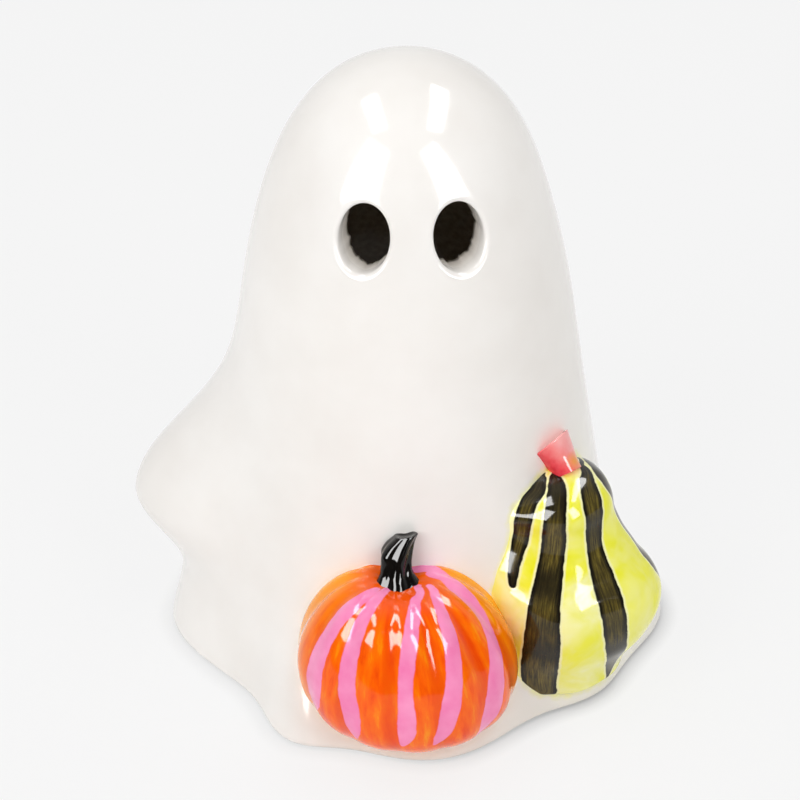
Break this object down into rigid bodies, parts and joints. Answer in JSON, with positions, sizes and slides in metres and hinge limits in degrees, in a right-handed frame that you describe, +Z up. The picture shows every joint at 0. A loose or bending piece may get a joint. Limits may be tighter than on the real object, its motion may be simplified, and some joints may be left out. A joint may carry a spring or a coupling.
{
  "type": "ceramic ghost figure",
  "caption": "Hollow glazed ceramic sheet ghost with cut-through eyes, a raised arm and a wavy hem, and a ribbed pumpkin and striped pear gourd luted to its skirt.",
  "frame": {"origin": "middle of the footprint, on the floor", "axes": "+Z up; the face looks along -Y; the raised arm is on -X and the gourd on +X"},
  "size_m": [0.1221, 0.1247, 0.14],
  "materials": {
    "ghost_body": "gloss",
    "pumpkin": "gloss",
    "pumpkin_stem": "gloss",
    "gourd": "gloss",
    "gourd_stem": "gloss"
  },
  "bodies": {
    "root": {"ghost_body": "ghost_body", "pumpkin": "pumpkin", "pumpkin_stem": "pumpkin_stem", "gourd": "gourd", "gourd_stem": "gourd_stem"}
  },
  "joints": []
}
